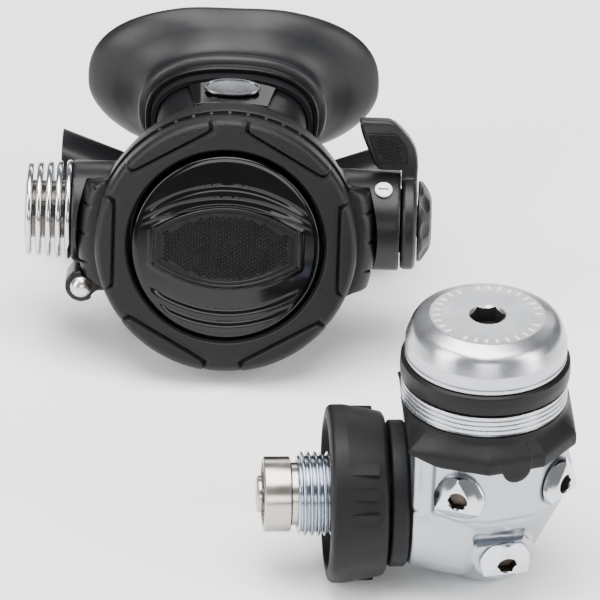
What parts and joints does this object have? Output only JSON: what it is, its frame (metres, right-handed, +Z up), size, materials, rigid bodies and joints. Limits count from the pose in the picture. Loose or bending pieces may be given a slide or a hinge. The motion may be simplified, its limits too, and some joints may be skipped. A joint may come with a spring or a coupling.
{
  "type": "scuba regulator set",
  "caption": "Diving regulator set: a chromed first stage with a threaded cylinder connector and a black second stage with purge button, flow lever and mouthpiece.",
  "frame": {"origin": "on the floor, at the middle of the set's bounding box", "axes": "+Z up, +Y from the purge button's side towards the mouthpiece, +X towards the flow lever"},
  "size_m": [0.1544, 0.2246, 0.0803],
  "materials": {
    "satin_chrome": "satin",
    "bright_chrome": "bright",
    "steel": "machined",
    "brass": "machined",
    "black_rubber": "matt",
    "silicone": "satin",
    "matt_plastic": "fine grain",
    "gloss_plastic": "gloss",
    "white_plastic": "satin"
  },
  "bodies": {
    "first_stage": {"first_stage_body": "satin_chrome", "spring_cap": "satin_chrome", "diaphragm_clamp_ring": "satin_chrome", "rubber_bumper_band": "black_rubber", "rubber_body_guard": "black_rubber", "low_plug_front": "bright_chrome", "low_plug_right": "bright_chrome", "low_plug_rear_right": "bright_chrome", "low_plug_rear": "bright_chrome", "high_plug_front": "bright_chrome", "high_plug_rear": "bright_chrome", "neck_ring": "black_rubber", "din_stem": "steel", "closure_pin": "steel", "acd_spring": "steel", "inlet_filter": "brass", "main_spring": "steel", "spring_adjuster": "brass", "spring_pad": "brass", "main_diaphragm": "black_rubber", "high_seat": "brass", "high_spring": "steel"},
    "din_wheel": {"din_handwheel": "black_rubber", "din_screw": "steel"},
    "closure_sleeve": {"acd_sleeve": "steel", "nose_o_ring": "black_rubber"},
    "high_valve": {"high_poppet": "brass", "lifter_pin": "brass"},
    "second_stage": {"case": "matt_plastic", "retaining_ring": "matt_plastic", "front_cover": "matt_plastic", "ring_lock_pin": "bright_chrome", "valve_barrel": "brass", "heat_exchanger": "bright_chrome", "mouthpiece": "silicone", "mouthpiece_clamp": "matt_plastic", "top_window": "gloss_plastic", "top_emblem": "bright_chrome", "marker_disc": "white_plastic", "exhaust_tee": "matt_plastic", "demand_diaphragm": "silicone", "purge_spring": "steel", "poppet_spring": "steel"},
    "purge": {"purge_button": "gloss_plastic", "purge_badge": "matt_plastic"},
    "plate": {"diaphragm_plate": "steel"},
    "lever": {"demand_lever": "steel"},
    "poppet": {"valve_poppet": "brass"},
    "knob": {"adjust_knob": "matt_plastic"},
    "screw": {"adjust_screw": "brass"},
    "flow_lever": {"venturi_lever": "matt_plastic", "lever_pad": "black_rubber", "venturi_vane": "matt_plastic"},
    "exhaust_flap": {"exhaust_valve": "silicone"}
  },
  "joints": [
    {"name": "second_stage_lift", "type": "slide", "parent": "first_stage", "child": "second_stage", "axis": [0, 0, 1], "range_m": [0, 0.15]},
    {"name": "din_wheel_spin", "type": "hinge", "parent": "first_stage", "child": "din_wheel", "pos_m": [0.0184, -0.0866, 0.02415], "axis": [-0.9969, -0.0785, 0], "continuous": true},
    {"name": "acd_sleeve_push", "type": "slide", "parent": "first_stage", "child": "closure_sleeve", "axis": [0.9969, 0.0785, 0], "range_m": [0, 0.0014], "stiffness_N_per_m": 600, "springref_m": -0.001, "deforming": ["acd_spring"]},
    {"name": "high_valve_open", "type": "slide", "parent": "first_stage", "child": "high_valve", "axis": [0, 0, -1], "range_m": [0, 0.0006], "stiffness_N_per_m": 2000, "springref_m": -0.0005, "deforming": ["high_spring", "main_diaphragm"]},
    {"name": "purge_press", "type": "slide", "parent": "second_stage", "child": "purge", "axis": [0, 0.9681, -0.2504], "range_m": [0, 0.002], "stiffness_N_per_m": 400, "springref_m": -0.002, "deforming": ["purge_spring", "demand_diaphragm"]},
    {"name": "diaphragm_push", "type": "slide", "parent": "second_stage", "child": "plate", "axis": [0, 0.9681, -0.2504], "range_m": [0, 0.002]},
    {"name": "demand_lever_tilt", "type": "hinge", "parent": "second_stage", "child": "lever", "pos_m": [-0.0301, 0.03274, 0.03905], "axis": [0, 0.2504, 0.9681], "range_deg": [0, 6.2]},
    {"name": "valve_poppet_open", "type": "slide", "parent": "second_stage", "child": "poppet", "axis": [1, 0, 0], "range_m": [0, 0.001], "deforming": ["poppet_spring"]},
    {"name": "adjust_knob_turn", "type": "hinge", "parent": "second_stage", "child": "knob", "pos_m": [0.03393, 0.03564, 0.03829], "axis": [1, 0, 0], "range_deg": [0, 720]},
    {"name": "adjust_screw_travel", "type": "slide", "parent": "second_stage", "child": "screw", "axis": [-1, 0, 0], "range_m": [0, 0.0015]},
    {"name": "venturi_lever_turn", "type": "hinge", "parent": "second_stage", "child": "flow_lever", "pos_m": [0.03093, 0.03564, 0.03829], "axis": [-1, 0, 0], "range_deg": [0, 60]},
    {"name": "exhaust_valve_lift", "type": "slide", "parent": "second_stage", "child": "exhaust_flap", "axis": [0, 1, 0], "range_m": [0, 0.0012], "stiffness_N_per_m": 20, "springref_m": -0.002}
  ],
  "couplings": [
    {"joint": "diaphragm_push", "follows": "purge_press", "ratio": 1},
    {"joint": "demand_lever_tilt", "follows": "purge_press", "rad_per_m": 52.7},
    {"joint": "valve_poppet_open", "follows": "purge_press", "ratio": 0.45},
    {"joint": "adjust_knob_turn", "follows": "adjust_screw_travel", "rad_per_m": 8377.5}
  ]
}
